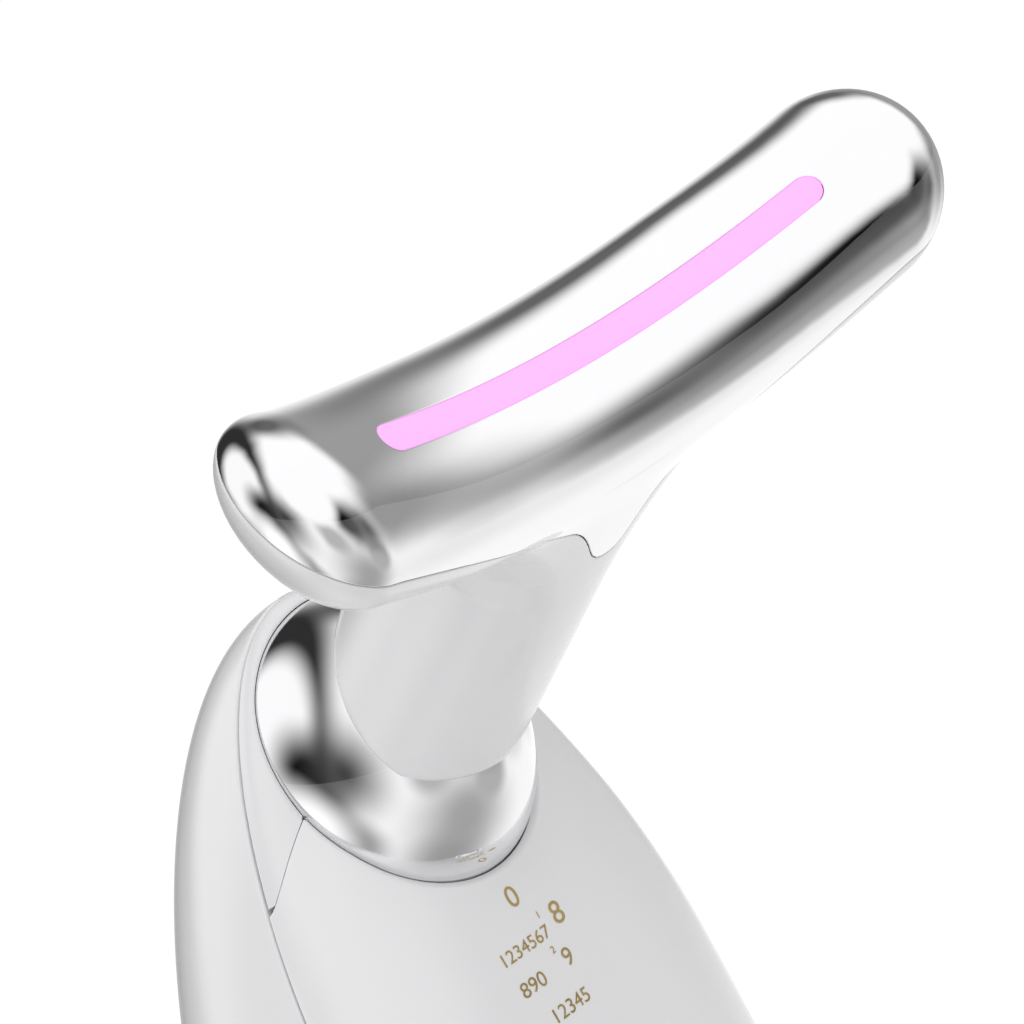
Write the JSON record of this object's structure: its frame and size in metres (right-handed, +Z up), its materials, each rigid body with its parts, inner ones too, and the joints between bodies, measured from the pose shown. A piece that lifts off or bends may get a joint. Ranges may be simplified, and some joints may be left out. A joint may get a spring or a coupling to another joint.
{
  "type": "neck and face massager",
  "caption": "Hand-held neck and face massager: leaning egg-shaped handle, chromed ball joint, white neck and saddle-shaped chromed head with a glowing strip.",
  "frame": {"origin": "middle of the underside of the rubber pad that the handle stands on", "axes": "+Z up, -Y the front towards which the head points, +X across the head"},
  "size_m": [0.0656, 0.0791, 0.1346],
  "materials": {
    "white": "glossy white",
    "grey_white": "glossy pale grey",
    "chrome": "mirror bright",
    "glow": "glowing pink",
    "base_rubber": "matte",
    "boot_rubber": "matte",
    "structure": "matte",
    "board_green": "satin",
    "cell_foil": "satin",
    "foam": "matte",
    "steel": "satin",
    "gold_metal": "polished",
    "switch_black": "satin",
    "lamp": "glossy",
    "guide_clear": "clear",
    "weight_metal": "satin",
    "motor_can": "satin",
    "washer_resin": "satin"
  },
  "bodies": {
    "handle": {"hood": "grey_white", "front_cover": "white", "back_shell": "white", "base_cap": "grey_white", "base_pad": "base_rubber", "chassis": "structure", "chassis_screws": "steel", "main_board": "board_green", "battery_tray": "structure", "battery_foam": "foam", "battery": "cell_foil", "button_switch": "switch_black", "mode_lamps": "lamp", "light_guides": "guide_clear", "charging_socket": "steel", "charging_board": "board_green", "friction_washers": "washer_resin"},
    "head": {"chrome_ball": "chrome", "pivot_pins": "steel", "contact_plate": "chrome", "head_and_neck_shell": "white", "light_window": "glow", "light_board": "board_green", "light_diodes": "lamp", "head_screws": "steel", "contact_probes": "gold_metal", "vibration_motor": "motor_can", "motor_boot": "boot_rubber"},
    "rotor": {"motor_weight": "weight_metal", "motor_shaft": "steel"},
    "button": {"power_button": "chrome"}
  },
  "joints": [
    {"name": "head_nod", "type": "hinge", "parent": "handle", "child": "head", "pos_m": [0, 0.0112, 0.09874], "axis": [1, 0, 0], "range_deg": [-15, 12]},
    {"name": "motor_spin", "type": "hinge", "parent": "head", "child": "rotor", "pos_m": [0, -0.03107, 0.12741], "axis": [0, -0.8171, 0.5764], "continuous": true},
    {"name": "button_press", "type": "slide", "parent": "handle", "child": "button", "axis": [0, 0.9848, -0.1736], "range_m": [0, 0.0005], "stiffness_N_per_m": 800}
  ]
}
